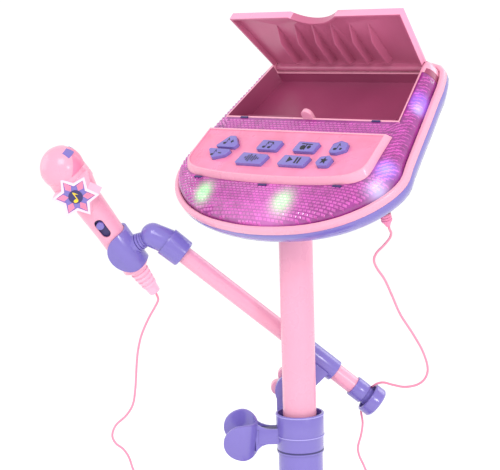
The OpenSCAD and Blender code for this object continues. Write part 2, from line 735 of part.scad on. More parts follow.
window_count = 5;
band_low = neck_to + 0.1 - head_at; // the head's lower edge, from the ball's centre
function arc(r, from, to, n) = [for (i = [0:n]) let (a = from + (to - from) * i / n) r * [cos(a), sin(a)]];
module mic_head() {
    ball_from = -17; // the ball's lowest latitude
    color(pink) on_mic() translate([0, 0, head_at]) difference() {
        rotate_extrude($fn = 64) polygon(concat(
            [[18.8, band_low]], arc(head_r, ball_from, 90, 14), arc(head_r - 2, 90, ball_from, 14),
            [[16.6, band_low]]
        ));
        for (i = [0:window_count - 1]) rotate(i * 360 / window_count + 20)
            translate([-6.5, -head_r - 2, -2]) cube([13, 9, 11]);
    }
}
module mic_grille() {
    color(purple) on_mic() translate([0, 0, head_at]) rotate_extrude($fn = 64) polygon(concat(
        arc(head_r - 2.2, -14, 90, 12), arc(head_r - 3.6, 90, -14, 12)
    ));
}
star_at = 75;
star_r = 21.5;
star_inner = 13.5;
module mic_badge() {
    color([0.86, 0.45, 0.72]) on_mic() difference() {
        translate([0, -9, star_at]) rotate([90, 0, 0]) linear_extrude(11.8) polygon([
            for (i = [0:11]) let (r = i % 2 == 0 ? star_r : star_inner, a = 30 * i + 34) r * [cos(a), sin(a)]
        ]);
        translate([0, 0, taper_from])
            cylinder(r1 = mic_r + 0.1, r2 = neck_r + 0.1, h = neck_from - taper_from, $fn = 64);
        translate([0, 0, neck_from])
            cylinder(r1 = neck_r + 0.1, r2 = 18.7, h = neck_to - neck_from, $fn = 64);
        translate([0, 0, neck_to]) cylinder(r = 19.8, h = 16, $fn = 64);
        translate([0, 0, head_at]) sphere(r = head_r + 0.2, $fn = 64);
    }
}
module mic_capsule() {
    color("dimgray") on_mic() translate([0, 0, head_at - 6]) {
        cylinder(r = 8, h = 9, $fn = 32);
        translate([0, 0, -34]) cylinder(r = 3, h = 34, $fn = 24);
    }
}
tail_end = -53;
module mic_tail() {
    color([0.95, 0.55, 0.68]) on_mic() difference() {
        union() {
            translate([0, 0, barrel_bottom - 3]) cylinder(r1 = 9.5, r2 = 12.6, h = 2.9, $fn = 48);
            translate([0, 0, barrel_bottom - 0.1]) cylinder(r = mic_r - 2.05, h = 6, $fn = 48);
            translate([0, 0, tail_end])
                cylinder(r1 = 5.4, r2 = 8.2, h = barrel_bottom - tail_end - 3, $fn = 48);
            for (k = [0:3]) translate([0, 0, barrel_bottom - 9 - 4.8 * k])
                cylinder(r1 = 8.6 - 0.55 * k, r2 = 9.2 - 0.55 * k, h = 3.2, $fn = 48);
        }
        translate([0, 0, tail_end - 1]) cylinder(r = cord_d / 2, h = 60, $fn = 24);
    }
}
module mic_switch() {
    color(purple) on_mic() translate([0, 0, switch_at + 3.5]) {
        translate([0, -mic_r - 0.8, 0]) rotate([-90, 0, 0]) cylinder(r = 3.7, h = 5, $fn = 32);
        translate([-5, -mic_r + 3.4, -6]) cube([10, 1.2, 12]);
    }
}

// ---- cord ----
// Routes in the turned frame, which has its X along the boom's side and its Y behind the column
upper_route = [
    [78.5, -65.5, 650.5], [79.5, -63, 647.5], [81, -60, 644], [80, -56, 639], [75, -52, 632], [69, -48, 625],
    [67, -45, 618], [70, -41, 610], [77, -35, 599], [84, -27, 583], [92, -19, 564], [104, -9, 544],
    [114, 0, 525], [119, 7, 508], [117, 12, 497], [110, 17, 490], [99, 22, 487], [89, 27, 488],
    [80.2, 31, 489.6], [74.2, 35, 487.6], [70.7, 39.5, 484.1], [68.7, 45.2, 481.4], [65.2, 48, 477.6],
];
lower_route = [
    [65, 48.3, 477.2], [61.2, 53, 472.6], [61, 54, 465], [60, 51, 457], [61, 46, 447], [59, 43, 436],
    [56, 43, 425], [57, 43, 416], [62, 44, 404], [68, 45, 385], [72, 46, 360], [70, 48, 330],
    [62, 50, 300], [48, 52, 273], [28, 54, 252], [4, 56, 240], [-22, 58, 238], [-48, 59, 244],
    [-74, 60, 258], [-98, 60, 280], [-118, 60, 308], [-134, 60, 338], [-147, 60, 368], [-156, 60, 390],
    [-161, 60, 406], [-164, 60, 416], [-169, 60, 424], [-176, 60, 430], [-179, 60, 438], [-175, 60, 448],
    [-165, 60, 457], [-158, 60, 468], [-155, 60, 484], [-153, 60, 506], [-151, 60, 521], [-147, 60, 536],
    [-140, 60.5, 551], [-134, 62, 561], [-130.4, 63.3, 568], [-131.1, 63, 572.5], [-132.8, 62.1, 576.4],
];
cord_sides = 8;
function along(route, k) = [
    for (i = [0:len(route) - 2]) for (j = [0:k - 1]) route[i] + (route[i + 1] - route[i]) * j / k,
    route[len(route) - 1]
];
function heading(p, i) = let (w = p[min(i + 1, len(p) - 1)] - p[max(i - 1, 0)]) w / norm(w);
function unit(v) = v / norm(v);
// A tube along the points of a route
module cord_tube(p) {
    n = len(p);
    s = cord_sides;
    polyhedron(
        points = [for (i = [0:n - 1])
            let (t = heading(p, i), a = unit(cross(t, [0.1, 1, 0.05])), b = cross(t, a))
            for (j = [0:s - 1]) p[i] + cord_d / 2 * (a * cos(360 * j / s) + b * sin(360 * j / s))],
        faces = concat(
            [[for (j = [0:s - 1]) j]],
            [for (i = [0:n - 2]) for (j = [0:s - 1])
                let (a = i * s + j, b = i * s + (j + 1) % s)
                each [[a, a + s, b + s], [a, b + s, b]]],
            [[for (j = [s - 1:-1:0]) (n - 1) * s + j]]
        )
    );
}
module at_plug() {
    on_panel() translate(jack_places[0]) rotate([jack_lean, 0, 0]) rotate([180, 0, 0]) children();
}
module cord_plug() {
    color([0.90, 0.38, 0.50]) at_plug() {
        translate([0, 0, -10]) cylinder(r = 2.9, h = 12, $fn = 24);
        translate([0, 0, 2]) cylinder(r = 4.4, h = 8.1, $fn = 32);
        for (z = [3, 5.4, 7.8]) translate([0, 0, z]) cylinder(r = 4.9, h = 1.3, $fn = 32);
        translate([0, 0, 10]) cylinder(r1 = 3.8, r2 = 1.8, h = 4.5, $fn = 32);
    }
}
module cord_upper() {
    color([0.90, 0.45, 0.55]) turned() cord_tube(along(upper_route, 1));
}
module cord_lower() {
    color([0.90, 0.45, 0.55]) turned() cord_tube(along(lower_route, 1));
}

base_shell();
base_ring();
base_weight();
base_cover();
base_feet();
base_screws();
base_socket();
lower_tube();
guide_bush();
upper_tube();
tube_foot();
tube_socket();
lower_shell();
top_housing();
light_lens();
control_panel();
button_membrane();
button_board();
main_board();
light_boards();
lights();
speaker();
battery_contacts();
battery_cells();
mic_jacks();
console_screws();
battery_door();
power_switch();
button(0);  // button_up
button(1);  // button_down
button(2);  // button_top_left
button(3);  // button_top_right
button(4);  // button_top_round
button(5);  // button_low_left
button(6);  // button_low_right
button(7);  // button_low_round
phone_lid();
collar();
spare_clip();
pivot_bolt();
boom_sleeve();
sleeve_lug();
tilt_knob();
boom_tube();
boom_end_cap();
boom_elbow();
mic_clip();
clip_pin();
mic_barrel();
mic_head();
mic_grille();
mic_badge();
mic_capsule();
mic_tail();
mic_switch();
cord_plug();
cord_upper();
cord_lower();
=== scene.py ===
"""Children's karaoke microphone stand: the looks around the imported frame.

Sizes and places are in mm, and angles in degrees, unless a comment says otherwise.
"""

import json
import math

import bmesh
import bpy
from mathutils import Matrix, Vector
from mathutils.bvhtree import BVHTree

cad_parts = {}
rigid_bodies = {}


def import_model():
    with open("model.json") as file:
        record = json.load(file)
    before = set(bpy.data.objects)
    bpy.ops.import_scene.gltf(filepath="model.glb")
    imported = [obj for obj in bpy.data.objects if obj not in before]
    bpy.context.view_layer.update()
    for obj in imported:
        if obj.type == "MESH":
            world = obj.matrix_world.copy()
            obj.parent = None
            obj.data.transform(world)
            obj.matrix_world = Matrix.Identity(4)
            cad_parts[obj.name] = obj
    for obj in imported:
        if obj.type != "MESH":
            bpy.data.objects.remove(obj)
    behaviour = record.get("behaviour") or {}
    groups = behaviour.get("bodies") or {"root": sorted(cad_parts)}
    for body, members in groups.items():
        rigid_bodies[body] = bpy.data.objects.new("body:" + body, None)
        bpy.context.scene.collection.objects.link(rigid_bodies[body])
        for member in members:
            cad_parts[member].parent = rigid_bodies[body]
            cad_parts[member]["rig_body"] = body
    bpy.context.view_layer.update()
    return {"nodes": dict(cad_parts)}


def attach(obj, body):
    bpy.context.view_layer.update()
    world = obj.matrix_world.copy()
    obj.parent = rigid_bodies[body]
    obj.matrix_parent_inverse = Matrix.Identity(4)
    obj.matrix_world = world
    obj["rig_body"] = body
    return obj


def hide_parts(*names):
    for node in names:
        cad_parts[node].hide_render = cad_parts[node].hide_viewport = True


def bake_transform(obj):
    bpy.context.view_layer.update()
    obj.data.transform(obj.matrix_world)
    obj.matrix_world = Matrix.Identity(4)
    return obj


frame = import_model()
MM = 0.001


# ---------------------------------------------------------------- frames of the part
def turned(angle, axis):
    return Matrix.Rotation(math.radians(angle), 4, axis)


def moved(x, y, z):
    return Matrix.Translation(Vector((x, y, z)) * MM)


def leaned(x, y, z):
    """The turn that rotate([x, y, z]) makes in the part's source."""
    return turned(z, "Z") @ turned(y, "Y") @ turned(x, "X")


HINGE_V = 73  # from the panel's origin to the lid's hinge
HEAD_AT = 99  # from the clip to the centre of the microphone's ball
PANEL = moved(0, 21.8, 740) @ turned(40, "X")
TURNED = turned(42.7, "Z")
CLIP = TURNED @ moved(-160, 48, 620) @ leaned(25.5, -25, -21)
MIC = CLIP @ turned(10, "Z")
LID = PANEL @ moved(0, HINGE_V, -5) @ turned(-84, "X")
UPRIGHT = TURNED @ turned(90, "X")  # its Y goes up and its Z goes across the arm


def linked(name, data):
    """A new object in the scene."""
    obj = bpy.data.objects.new(name, data)
    bpy.context.scene.collection.objects.link(obj)
    return obj


# ---------------------------------------------------------------- camera
CAMERA_AT = (0.8990, -1.0335, 0.8321)  # in metres
CAMERA_AZIMUTH = 42.74
CAMERA_DOWN = 8.1
CAMERA_ROLL = -1.61
FOCAL_LENGTH = 110.08
SENSOR_WIDTH = 36


def make_camera():
    azimuth, down, roll = (math.radians(a) for a in (CAMERA_AZIMUTH, CAMERA_DOWN, CAMERA_ROLL))
    look = Vector((-math.sin(azimuth) * math.cos(down), math.cos(azimuth) * math.cos(down), -math.sin(down)))
    level = Vector((math.cos(azimuth), math.sin(azimuth), 0))
    rise = level.cross(look)
    right = math.cos(roll) * level + math.sin(roll) * rise
    up = -math.sin(roll) * level + math.cos(roll) * rise
    data = bpy.data.cameras.new("camera")
    data.lens = FOCAL_LENGTH
    data.sensor_width = SENSOR_WIDTH
    data.clip_start = 0.05
    data.clip_end = 50
    camera = linked("camera", data)
    pose = Matrix((right, up, -look)).transposed().to_4x4()
    pose.translation = Vector(CAMERA_AT)
    camera.matrix_world = pose
    bpy.context.scene.camera = camera


make_camera()


# ---------------------------------------------------------------- materials
GRAIN_DEPTH = 0.0002  # in metres
COAT_ROUGHNESS = 0.15


def mixed(tree, a, b, factor):
    """A colour between two colours."""
    node = tree.nodes.new("ShaderNodeMix")
    node.data_type = "RGBA"
    node.inputs["A"].default_value = (*a, 1)
    node.inputs["B"].default_value = (*b, 1)
    tree.links.new(factor, node.inputs["Factor"])
    return node.outputs["Result"]


def noise(tree, scale, detail=2.0):
    place = tree.nodes.new("ShaderNodeTexCoord")
    node = tree.nodes.new("ShaderNodeTexNoise")
    node.inputs["Scale"].default_value = scale
    node.inputs["Detail"].default_value = detail
    tree.links.new(place.outputs["Object"], node.inputs["Vector"])
    return node.outputs["Fac"]


def ranged(tree, value, low, high, from_low=0.3, from_high=0.7):
    """A value moved from one range to another; the first range suits a noise, which keeps near its middle."""
    node = tree.nodes.new("ShaderNodeMapRange")
    node.inputs["From Min"].default_value = from_low
    node.inputs["From Max"].default_value = from_high
    node.inputs["To Min"].default_value = low
    node.inputs["To Max"].default_value = high
    tree.links.new(value, node.inputs["Value"])
    return node.outputs["Result"]


def bumped(tree, shader, height, strength):
    node = tree.nodes.new("ShaderNodeBump")
    node.inputs["Strength"].default_value = strength
    node.inputs["Distance"].default_value = GRAIN_DEPTH
    tree.links.new(height, node.inputs["Height"])
    tree.links.new(node.outputs["Normal"], shader.inputs["Normal"])


def new_material(name):
    material = bpy.data.materials.new(name)
    material.use_nodes = True
    return material, material.node_tree, material.node_tree.nodes["Principled BSDF"]


def plastic(name, color, rough, shade=0.93, grain=0.05, coat=0.0, cloud=14):
    """Moulded plastic: faint flow clouds in its colour, uneven gloss and a fine grain."""
    material, tree, shader = new_material(name)
    darker = tuple(c * shade for c in color)
    clouds = ranged(tree, noise(tree, cloud), 0, 1)
    tree.links.new(mixed(tree, darker, color, clouds), shader.inputs["Base Color"])
    gloss = ranged(tree, noise(tree, scale=60, detail=4), rough * 0.85, rough * 1.2)
    tree.links.new(gloss, shader.inputs["Roughness"])
    bumped(tree, shader, noise(tree, scale=1400, detail=3), grain)
    shader.inputs["Coat Weight"].default_value = coat
    shader.inputs["Coat Roughness"].default_value = COAT_ROUGHNESS
    return material


def metal(name, color, rough=0.3):
    material, tree, shader = new_material(name)
    darker = tuple(c * 0.8 for c in color)
    clouds = ranged(tree, noise(tree, scale=90, detail=4), 0, 1)
    tree.links.new(mixed(tree, darker, color, clouds), shader.inputs["Base Color"])
    gloss = ranged(tree, noise(tree, scale=300, detail=3), rough * 0.7, rough * 1.3)
    tree.links.new(gloss, shader.inputs["Roughness"])
    shader.inputs["Metallic"].default_value = 1.0
    bumped(tree, shader, noise(tree, scale=900), 0.1)
    return material


def glowing(name, color, strength):
    material, tree, shader = new_material(name)
    pale = tuple(0.5 + 0.5 * c for c in color)
    clouds = ranged(tree, noise(tree, scale=400), 0, 1)
    tree.links.new(mixed(tree, color, pale, clouds), shader.inputs["Base Color"])
    shader.inputs["Emission Color"].default_value = (*color, 1)
    shader.inputs["Emission Strength"].default_value = strength
    shader.inputs["Roughness"].default_value = 0.3
    return material


# Painted glows on the lens, as emission: the places on the panel (u, v, n) of the lights below it, with their
# colours and the reach of their glow; the last, wide and dim, is a painted glare over the lens's front
PAINTED_GLOWS = [((-66, -94, -7), (0.05, 1.0, 0.16), 21), ((31, -98, -8), (0.05, 1.0, 0.16), 24),
         ((115, -72, -10), (0.24, 0.40, 0.55), 21), ((116, -54, -6), (0.12, 0.25, 1.0), 18),
         ((112, 22, -3), (0.45, 0.65, 1.0), 13), ((111, 30, -2), (0.12, 0.15, 1.0), 24),
         ((18, -112, -12), (0.15, 0.05, 0.13), 75)]
PAINTED_GLOW_STRENGTH = 2.6
PAINTED_GLOW_FALL = 2.7  # the power by which a glow fades towards its reach


def painted_glow_at(tree, place, spot, light, reach):
    """The painted glow, an emission colour, that one light gives to a place of the lens."""
    gap = tree.nodes.new("ShaderNodeVectorMath")
    gap.operation = "DISTANCE"
    gap.inputs[1].default_value = PANEL @ (Vector(spot) * MM)
    tree.links.new(place, gap.inputs[0])
    near = ranged(tree, gap.outputs["Value"], 1, 0, 0, reach * MM)
    power = tree.nodes.new("ShaderNodeMath")
    power.operation = "POWER"
    power.inputs[1].default_value = PAINTED_GLOW_FALL
    tree.links.new(near, power.inputs[0])
    return mixed(tree, (0, 0, 0), light, power.outputs["Value"])


def lens_plastic(name, color, rough, shade):
    """The ribbed lens's plastic, with a painted glow, as emission, around each light below it and a painted
    glare over its front.
    """
    material = plastic(name, color, rough, shade=shade, cloud=150, coat=0.6)
    tree = material.node_tree
    shader = tree.nodes["Principled BSDF"]
    place = tree.nodes.new("ShaderNodeTexCoord").outputs["Object"]
    total = None
    for spot, light, reach in PAINTED_GLOWS:
        lit = painted_glow_at(tree, place, spot, light, reach)
        if total:
            both = tree.nodes.new("ShaderNodeVectorMath")
            both.operation = "ADD"
            tree.links.new(total, both.inputs[0])
            tree.links.new(lit, both.inputs[1])
            lit = both.outputs["Vector"]
        total = lit
    tree.links.new(total, shader.inputs["Emission Color"])
    shader.inputs["Emission Strength"].default_value = PAINTED_GLOW_STRENGTH
    return material


PINK = plastic("pink_plastic", (0.78, 0.33, 0.46), 0.28, coat=0.2)
# A darker copy of the lid's pink, for its ribbed inner face: painted shade.
LID_PAINTED_SHADE = plastic("lid_pink_painted_shade", (0.50, 0.12, 0.23), 0.34, shade=0.85, cloud=9)
LID_RIM = plastic("lid_rim_pink", (0.80, 0.31, 0.48), 0.32)
# A dark maroon copy of the housing's pink, for the tub's walls and floor: painted shade in the deep tub.
TUB_PAINTED_SHADE = plastic("tub_pink_painted_shade", (0.30, 0.045, 0.12), 0.36, shade=0.75, cloud=11)
TAIL_PINK = plastic("tail_pink", (0.90, 0.44, 0.58), 0.36)
PALE_PINK = plastic("pale_pink_plastic", (0.93, 0.62, 0.74), 0.30)
PURPLE = plastic("purple_plastic", (0.175, 0.135, 0.46), 0.22, coat=0.3)
# A lighter purple for the collar's ridge and lip: painted highlights.
LILAC_PAINTED_HIGHLIGHT = plastic("lilac_painted_highlight", (0.34, 0.29, 0.66), 0.22)
INDIGO = plastic("indigo_plastic", (0.035, 0.025, 0.13), 0.45)
INK = plastic("black_ink", (0.010, 0.008, 0.02), 0.5, shade=0.7)
YELLOW = plastic("yellow_print", (0.85, 0.60, 0.03), 0.4)
DEEP_PINK = plastic("deep_pink_plastic", (0.83, 0.24, 0.42), 0.34)
PANEL_PINK = plastic("panel_pink", (0.85, 0.24, 0.41), 0.30, shade=0.8, cloud=45)
LENS = lens_plastic("magenta_lens", (0.30, 0.022, 0.24), 0.22, 0.7)
# A lighter magenta than the lens's, for its ribs: a painted highlight on the ribs.
RIBS_PAINTED_HIGHLIGHT = lens_plastic("magenta_ribs_painted_highlight", (0.62, 0.085, 0.46), 0.16, 0.62)
WHITE = plastic("white_plastic", (0.80, 0.80, 0.80), 0.45)
BLACK = plastic("black_plastic", (0.012, 0.012, 0.014), 0.4, shade=0.7)
RUBBER = plastic("rubber", (0.03, 0.03, 0.033), 0.75, grain=0.2)
MEMBRANE = plastic("membrane_rubber", (0.55, 0.55, 0.57), 0.7, grain=0.2)
BOARD = plastic("circuit_board", (0.02, 0.16, 0.06), 0.35, shade=0.7, cloud=200)
STEEL = metal("steel", (0.62, 0.62, 0.65))
CELL = metal("battery_wrap", (0.65, 0.45, 0.15), 0.35)
CORD = plastic("cord_rubber", (0.80, 0.26, 0.38), 0.5, grain=0.1)
GREEN_LIGHT = glowing("green_light", (0.15, 1.0, 0.25), 14)

CAD_LOOKS = {
    PURPLE: "base_shell base_cover base_socket lower_tube tube_socket lower_shell battery_door collar "
            "spare_clip boom_sleeve sleeve_lug boom_end_cap boom_elbow mic_clip mic_grille mic_switch "
            "button_up button_down button_top_left button_top_right button_top_round "
            "button_low_left button_low_right button_low_round",
    PINK: "base_ring upper_tube top_housing tilt_knob boom_tube mic_barrel mic_head",
    LID_RIM: "phone_lid",
    DEEP_PINK: "mic_badge cord_plug",
    TAIL_PINK: "mic_tail",
    PANEL_PINK: "control_panel",
    LENS: "light_lens",
    WHITE: "guide_bush tube_foot light_boards",
    RUBBER: "base_feet",
    MEMBRANE: "button_membrane",
    STEEL: "base_weight base_screws console_screws battery_contacts pivot_bolt clip_pin",
    CELL: "battery_cells",
    BOARD: "button_board main_board",
    GREEN_LIGHT: "lights",
    BLACK: "speaker mic_jacks power_switch mic_capsule",
    CORD: "cord_upper cord_lower",
}
for look, names in CAD_LOOKS.items():
    for name in names.split():
        data = frame["nodes"][name].data
        data.materials.clear()
        data.materials.append(look)


# ---------------------------------------------------------------- mesh helpers
MERGE_GAP = 1e-6  # in metres
FLAT_ANGLE = 0.6  # faces that meet at less than this angle are one face
EDGE_ANGLE = 35  # edges steeper than this are rounded


def smoothed(data, angle):
    """Smooth shading that stops at edges steeper than an angle."""
    data.shade_smooth()
    data.set_sharp_from_angle(angle=math.radians(angle))


def piece(name, bm, material, body, smooth=0):
    """A Blender object from a bmesh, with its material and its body."""
    data = bpy.data.meshes.new(name)
    bmesh.ops.recalc_face_normals(bm, faces=bm.faces)
    bm.to_mesh(data)
    bm.free()
    obj = linked(name, data)
    data.materials.append(material)
    if smooth:
        smoothed(data, smooth)
    if body:
        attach(obj, body)
    return obj


def refined(node, bevel, segments=2):
    """A copy of a CAD node whose edges are rounded, as moulded edges are."""
    source = frame["nodes"][node]
    bm = bmesh.new()
    bm.from_mesh(source.data)
    bmesh.ops.remove_doubles(bm, verts=bm.verts, dist=MERGE_GAP)
    bmesh.ops.dissolve_limit(bm, angle_limit=math.radians(FLAT_ANGLE), verts=bm.verts, edges=bm.edges)
    obj = piece(node + "_moulded", bm, source.data.materials[0], source["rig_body"])
    rounding = obj.modifiers.new("rounding", "BEVEL")
    rounding.width = bevel * MM
    rounding.segments = segments
    rounding.limit_method = "ANGLE"
    rounding.angle_limit = math.radians(EDGE_ANGLE)
    rounding.harden_normals = False
    bpy.context.view_layer.update()
    shown = obj.evaluated_get(bpy.context.evaluated_depsgraph_get())
    data = bpy.data.meshes.new_from_object(shown)
    obj.modifiers.clear()
    obj.data = data
    smoothed(data, EDGE_ANGLE)
    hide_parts(node)


def ring(bm, points, z, to=Matrix.Identity(4)):
    """New vertices at flat points, at a height along the local Z of `to`."""
    return [bm.verts.new(to @ (Vector((x, y, z)) * MM)) for x, y in points]


def loft(bm, rings, caps=True):
    """A skin over rings that have as many points each, with a face over both ends."""
    for low, high in zip(rings, rings[1:]):
        for k in range(len(low)):
            m = (k + 1) % len(low)
            bm.faces.new((low[k], low[m], high[m], high[k]))
    if caps:
        bm.faces.new(rings[0][::-1])
        bm.faces.new(rings[-1])


def hoop(bm, rings):
    """A closed hoop: a skin that goes on from the last ring to the first."""
    loft(bm, rings + rings[:1], caps=False)


def prism(bm, points, low, high, to, lean=(0, 0)):
    """A prism on a polygon, between two heights along the local Z of `to`; its low end moves by lean."""
    foot = [(x + lean[0], y + lean[1]) for x, y in points]
    loft(bm, [ring(bm, foot, low, to), ring(bm, points, high, to)])


def curve(points, steps):
    """A smooth curve through points, from the second to the last but one: the ends only steer it."""
    out = []
    for i in range(1, len(points) - 2):
        a, b, c, d = points[i - 1:i + 3]
        for k in range(steps):
            t = k / steps
            out.append(0.5 * (2 * b + (c - a) * t + (2 * a - 5 * b + 4 * c - d) * t * t
                              + (3 * b - a - 3 * c + d) * t ** 3))
    return out + [points[-2]]


# ---------------------------------------------------------------- cords
CORD_D = 2.2 * MM
CORD_SIDES = 10
UPPER_ROUTE = [
    (78.5, -65.5, 650.5), (79.5, -63, 647.5), (81, -60, 644), (80, -56, 639), (75, -52, 632), (69, -48, 625),
    (67, -45, 618), (70, -41, 610), (77, -35, 599), (84, -27, 583), (92, -19, 564), (104, -9, 544),
    (114, 0, 525), (119, 7, 508), (117, 12, 497), (110, 17, 490), (99, 22, 487), (89, 27, 488),
    (80.2, 31, 489.6), (74.2, 35, 487.6), (70.7, 39.5, 484.1), (68.7, 45.2, 481.4), (65.2, 48, 477.6),
]
LOWER_ROUTE = [
    (65, 48.3, 477.2), (61.2, 53, 472.6), (61, 54, 465), (60, 51, 457), (61, 46, 447), (59, 43, 436),
    (56, 43, 425), (57, 43, 416), (62, 44, 404), (68, 45, 385), (72, 46, 360), (70, 48, 330),
    (62, 50, 300), (48, 52, 273), (28, 54, 252), (4, 56, 240), (-22, 58, 238), (-48, 59, 244),
    (-74, 60, 258), (-98, 60, 280), (-118, 60, 308), (-134, 60, 338), (-147, 60, 368), (-156, 60, 390),
    (-161, 60, 406), (-164, 60, 416), (-169, 60, 424), (-176, 60, 430), (-179, 60, 438), (-175, 60, 448),
    (-165, 60, 457), (-158, 60, 468), (-155, 60, 484), (-153, 60, 506), (-151, 60, 521), (-147, 60, 536),
    (-140, 60.5, 551), (-134, 62, 561), (-130.4, 63.3, 568), (-131.1, 63, 572.5), (-132.8, 62.1, 576.4),
]
# Each span of a cord: the point of the route where it ends, and the bodies at its two ends; a span with one
# body at both ends goes with that body
UPPER_SPANS = [(9, "mast", "stand"), (12, "stand", "collar"), (15, "collar", "sleeve"),
               (22, "sleeve", "boom")]
LOWER_SPANS = [(17, "boom", "boom"), (27, "boom", "clip"), (40, "clip", "mic")]
STEPS = 6  # from one point of a route to the next


def smooth_route(points):
    """A smooth curve through the route's points, in the part's frame."""
    p = [TURNED @ (Vector(q) * MM) for q in points]
    return curve([p[0] + (p[0] - p[1])] + p + [p[-1] + (p[-1] - p[-2])], STEPS)


def sections(path):
    """At each point of a path, the point and two directions across it, without twist."""
    out = []
    side = None
    for i, point in enumerate(path):
        ahead = (path[min(i + 1, len(path) - 1)] - path[max(i - 1, 0)]).normalized()
        side = side or ahead.orthogonal().normalized()
        side = (side - ahead * side.dot(ahead)).normalized()
        out.append((point, side, ahead.cross(side)))
    return out


def tube(bm, along, radius):
    """A closed round tube along a path's sections, in metres."""
    angles = [2 * math.pi * k / CORD_SIDES for k in range(CORD_SIDES)]
    loft(bm, [[bm.verts.new(point + radius * (math.cos(a) * side + math.sin(a) * other)) for a in angles]
              for point, side, other in along])


def make_cord(node, route, spans):
    """One cord as spans between bodies: a span with the same body at both ends is attached to it, the others
    to none; each span leaves the one before it.
    """
    path = smooth_route(route)
    along = sections(path)
    first = 0
    for count, (last, a, b) in enumerate(spans):
        last = min(last * STEPS, len(path) - 1)
        bm = bmesh.new()
        tube(bm, along[first:last + 1], CORD_D / 2)
        obj = piece(f"{node}_span_{count + 1}", bm, CORD, a if a == b else None, 60)
        if a != b:
            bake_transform(obj)
        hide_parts(node)
        first = last


make_cord("cord_upper", UPPER_ROUTE, UPPER_SPANS)
make_cord("cord_lower", LOWER_ROUTE, LOWER_SPANS)

# ---------------------------------------------------------------- rounded CAD shapes
BUTTONS = ("button_up", "button_down", "button_top_left", "button_top_right", "button_top_round",
           "button_low_left", "button_low_right", "button_low_round")
BUTTON_BEVEL = 1.3
# Each node, with its slot and the width of its rounded edges
ROUNDED = (
    ("collar", "purple_plastic", 0.7), ("spare_clip", "purple_plastic", 0.6),
    ("boom_sleeve", "purple_plastic", 0.8), ("sleeve_lug", "purple_plastic", 0.8),
    ("tilt_knob", "pink_plastic", 1.2), ("boom_end_cap", "purple_plastic", 0.6),
    ("boom_elbow", "purple_plastic", 0.8), ("mic_clip", "purple_plastic", 0.6),
    ("base_socket", "purple_plastic", 0.6), ("phone_lid", "pink_plastic", 0.7),
    ("base_shell", "purple_plastic", 0.8), ("base_ring", "pink_plastic", 0.5),
    ("control_panel", "deep_pink_plastic", 0.25), ("mic_barrel", "pink_plastic", 0.5),
    ("mic_tail", "deep_pink_plastic", 0.4), ("cord_plug", "deep_pink_plastic", 0.3),
    ("top_housing", "pink_plastic", 0.35), ("lower_shell", "purple_plastic", 0.3),
)
for node, slot, bevel in ROUNDED:
    refined(node, bevel)
for node in BUTTONS:
    refined(node, BUTTON_BEVEL, segments=3)


def toned(obj, material, frame_of, inside):
    """Gives a second material to the faces whose middles pass a test, in a frame of the part."""
    obj.data.materials.append(material)
    back = frame_of.inverted()
    for face in obj.data.polygons:
        x, y, z = (back @ face.center) / MM
        if inside(x, y, z, back.to_3x3() @ face.normal):
            face.material_index = 1


LID_LENGTH = HINGE_V - 1.4  # from the hinge to the lid's free edge
LID_BORDER = 1.5


def lid_half(s):
    """The lid's half width at a distance s from its hinge, as in the part's source."""
    return 88.5 + (101 - 88.5) * (s - 3.5) / (LID_LENGTH - 2.9) - 0.6


def in_lid(x, y, z, normal):
    """The lid's ribbed face, within its paler border: the faces that get the painted shade."""
    within = abs(x) < lid_half(-y) - LID_BORDER and -y < LID_LENGTH - 1.6
    return within and z < 4.4 and normal.z < 0.5


def in_tub(x, y, z, normal):
    """The tub's walls and floor, below its rim: the faces that get the painted shade."""
    return z < -0.8 and 1.6 < y < 69.9 and abs(x) < 101.4


# The lid's ribbed face gets a darker pink: painted shade.
toned(bpy.data.objects["phone_lid_moulded"], LID_PAINTED_SHADE, LID, in_lid)
# The tub's inside gets a dark maroon: painted shade.
toned(bpy.data.objects["top_housing_moulded"], TUB_PAINTED_SHADE, PANEL, in_tub)


# ---------------------------------------------------------------- flat shapes
def circle(x, y, r, count=16):
    return [(x + r * math.cos(2 * math.pi * k / count), y + r * math.sin(2 * math.pi * k / count))
            for k in range(count)]


def polar(r, angle):
    return r * math.cos(math.radians(angle)), r * math.sin(math.radians(angle))


def star(r, inner, tips, start):
    """A star around the middle, whose first tip is at the angle start."""
    return [polar(inner if k % 2 else r, start + 180 * k / tips) for k in range(2 * tips)]


def box_of(x0, y0, x1, y1):
    return [(x0, y0), (x1, y0), (x1, y1), (x0, y1)]


def note(x, y, size):
    """An eighth note, in parts of its size: an oval head, a stem and a flag."""
    right, top = x + size * 0.42, y + size * 1.5
    head = [(x + size * 0.42 * math.cos(a), y + size * 0.30 * math.sin(a))
            for a in (2 * math.pi * k / 12 for k in range(12))]
    stem = box_of(x + size * 0.28, y, right, top)
    flag = [(right, top), (right, y + size * 1.1), (x + size * 0.95, y + size * 0.75)]
    return [head, stem, flag]


